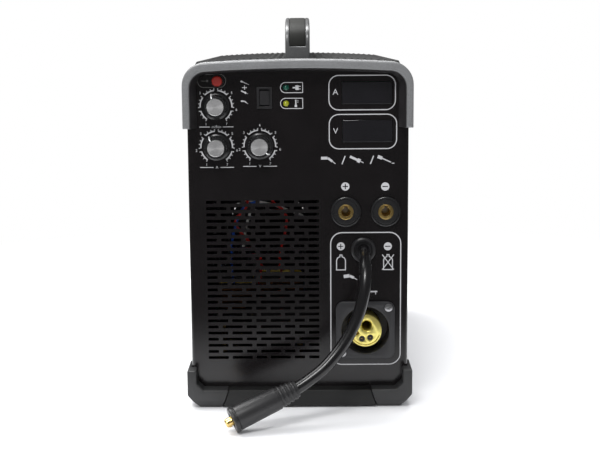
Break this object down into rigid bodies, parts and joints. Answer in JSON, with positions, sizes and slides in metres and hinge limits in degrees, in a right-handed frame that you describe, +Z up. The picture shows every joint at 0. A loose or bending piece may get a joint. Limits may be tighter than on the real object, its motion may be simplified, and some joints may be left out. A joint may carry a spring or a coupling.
{
  "type": "inverter welding machine",
  "caption": "Upright box-shaped inverter welding machine with carrying handle, corner bumpers, control knobs, output sockets, torch socket, changeover lead and inner wire feeder.",
  "frame": {"origin": "on the floor under the middle of the case (centre of the footprint of the bumpers)", "axes": "+Z up, the control panel faces -Y, +X is to the right of the control panel"},
  "size_m": [0.229, 0.5913, 0.3951],
  "materials": {
    "black_panel": "satin black powder coat",
    "zinc_steel": "plain zinc-plated sheet",
    "black_deck": "ribbed semi-matt black plastic",
    "silver_plastic": "dark silver-grey paint on plastic",
    "soft_grip": "soft-touch rubber",
    "dark_plastic": "grained dark grey plastic",
    "black_plastic": "semi-gloss black plastic",
    "knob_cap": "turned aluminium",
    "steel": "plain steel",
    "brass": "turned brass",
    "red_plastic": "gloss red plastic",
    "green_lens": "green lens",
    "yellow_lens": "yellow lens",
    "window": "dark tinted window",
    "cable_rubber": "smooth black rubber",
    "circuit_board": "green board",
    "aluminium": "cast or extruded aluminium",
    "copper_core": "varnished core and winding"
  },
  "bodies": {
    "case": {"base_pan": "zinc_steel", "centre_partition": "zinc_steel", "front_panel": "black_panel", "rear_panel": "black_panel", "left_side_panel": "black_panel", "door_frame": "black_panel", "roof_panel": "black_panel", "ribbed_deck": "black_deck", "hinge_leaves": "zinc_steel", "hinge_pins": "zinc_steel", "handle_frame": "silver_plastic", "handle_grip": "soft_grip", "front_top_bumper": "silver_plastic", "rear_top_bumper": "silver_plastic", "bumper_liners": "dark_plastic", "corner_feet": "dark_plastic", "base_strips": "dark_plastic", "screws": "steel", "potentiometers": "steel", "control_board": "circuit_board", "meter_windows": "window", "switch_bodies": "black_plastic", "power_lamp": "green_lens", "thermal_lamp": "yellow_lens", "socket_insulators": "dark_plastic", "socket_contacts": "brass", "torch_socket_flange": "dark_plastic", "torch_socket_core": "brass", "lead_gland": "black_plastic", "lead_cable": "cable_rubber", "lead_plug_sleeve": "dark_plastic", "lead_plug_pin": "brass", "feed_plate": "aluminium", "feed_motor": "steel", "spool_spindle": "steel", "fan_frame": "black_plastic", "power_board": "circuit_board", "heatsinks": "aluminium", "transformer": "copper_core", "mains_gland": "black_plastic", "gas_inlet": "brass", "gas_valve": "brass"},
    "side_door": {"side_door": "black_panel"},
    "door_latch": {"door_knob": "dark_plastic"},
    "wire_speed_knob": {"wire_speed_knob": "black_plastic", "wire_speed_knob_cap": "knob_cap"},
    "arc_current_knob": {"arc_current_knob": "black_plastic", "arc_current_knob_cap": "knob_cap"},
    "voltage_knob": {"voltage_knob": "black_plastic", "voltage_knob_cap": "knob_cap"},
    "mode_rocker": {"mode_rocker": "black_plastic"},
    "inch_button": {"inch_button": "red_plastic"},
    "mains_rocker": {"mains_rocker": "red_plastic"},
    "fan_rotor": {"fan_rotor": "dark_plastic"},
    "drive_roll": {"drive_roll": "steel"},
    "pressure_arm": {"pressure_arm": "aluminium"},
    "pressure_roll": {"pressure_roll": "steel"},
    "tension_lever": {"tension_lever": "red_plastic", "tension_spring": "steel"},
    "spool_hub": {"spool_hub": "black_plastic"}
  },
  "joints": [
    {"name": "side_door_hinge", "type": "hinge", "parent": "case", "child": "side_door", "pos_m": [0.11275, 0, 0.319], "axis": [0, -1, 0], "range_deg": [0, 110]},
    {"name": "door_latch_turn", "type": "hinge", "parent": "side_door", "child": "door_latch", "pos_m": [0.111, 0.005, 0.046], "axis": [1, 0, 0], "range_deg": [0, 90]},
    {"name": "wire_speed_turn", "type": "hinge", "parent": "case", "child": "wire_speed_knob", "pos_m": [-0.0816, -0.232, 0.3064], "axis": [0, 1, 0], "range_deg": [-129, 171]},
    {"name": "arc_current_turn", "type": "hinge", "parent": "case", "child": "arc_current_knob", "pos_m": [-0.0816, -0.232, 0.2658], "axis": [0, 1, 0], "range_deg": [-114, 186]},
    {"name": "voltage_turn", "type": "hinge", "parent": "case", "child": "voltage_knob", "pos_m": [-0.0384, -0.232, 0.2666], "axis": [0, 1, 0], "range_deg": [-281, 19]},
    {"name": "mode_rocker_tilt", "type": "hinge", "parent": "case", "child": "mode_rocker", "pos_m": [-0.0333, -0.2325, 0.3145], "axis": [-1, 0, 0], "range_deg": [0, 22]},
    {"name": "inch_button_press", "type": "slide", "parent": "case", "child": "inch_button", "axis": [0, 1, 0], "range_m": [0, 0.0028], "stiffness_N_per_m": 300, "springref_m": -0.001},
    {"name": "mains_rocker_tilt", "type": "hinge", "parent": "case", "child": "mains_rocker", "pos_m": [-0.078, 0.2325, 0.262], "axis": [1, 0, 0], "range_deg": [0, 14]},
    {"name": "fan_spin", "type": "hinge", "parent": "case", "child": "fan_rotor", "pos_m": [-0.042, 0.2175, 0.112], "axis": [0, 1, 0], "continuous": true},
    {"name": "drive_roll_spin", "type": "hinge", "parent": "case", "child": "drive_roll", "pos_m": [0.0686, -0.112, 0.0666], "axis": [1, 0, 0], "continuous": true},
    {"name": "pressure_arm_lift", "type": "hinge", "parent": "case", "child": "pressure_arm", "pos_m": [0.0686, -0.146, 0.0981], "axis": [1, 0, 0], "range_deg": [0, 22.5]},
    {"name": "pressure_roll_spin", "type": "hinge", "parent": "pressure_arm", "child": "pressure_roll", "pos_m": [0.0686, -0.112, 0.0936], "axis": [1, 0, 0], "continuous": true},
    {"name": "tension_lever_swing", "type": "hinge", "parent": "case", "child": "tension_lever", "pos_m": [0.0826, -0.082, 0.0581], "axis": [-1, 0, 0], "range_deg": [0, 50], "deforming": ["tension_spring"]},
    {"name": "spool_hub_spin", "type": "hinge", "parent": "case", "child": "spool_hub", "pos_m": [0.065, 0.078, 0.19], "axis": [1, 0, 0], "continuous": true}
  ],
  "couplings": [
    {"joint": "pressure_roll_spin", "follows": "drive_roll_spin", "ratio": -1.3636},
    {"joint": "pressure_arm_lift", "follows": "tension_lever_swing", "ratio": 0.45}
  ]
}
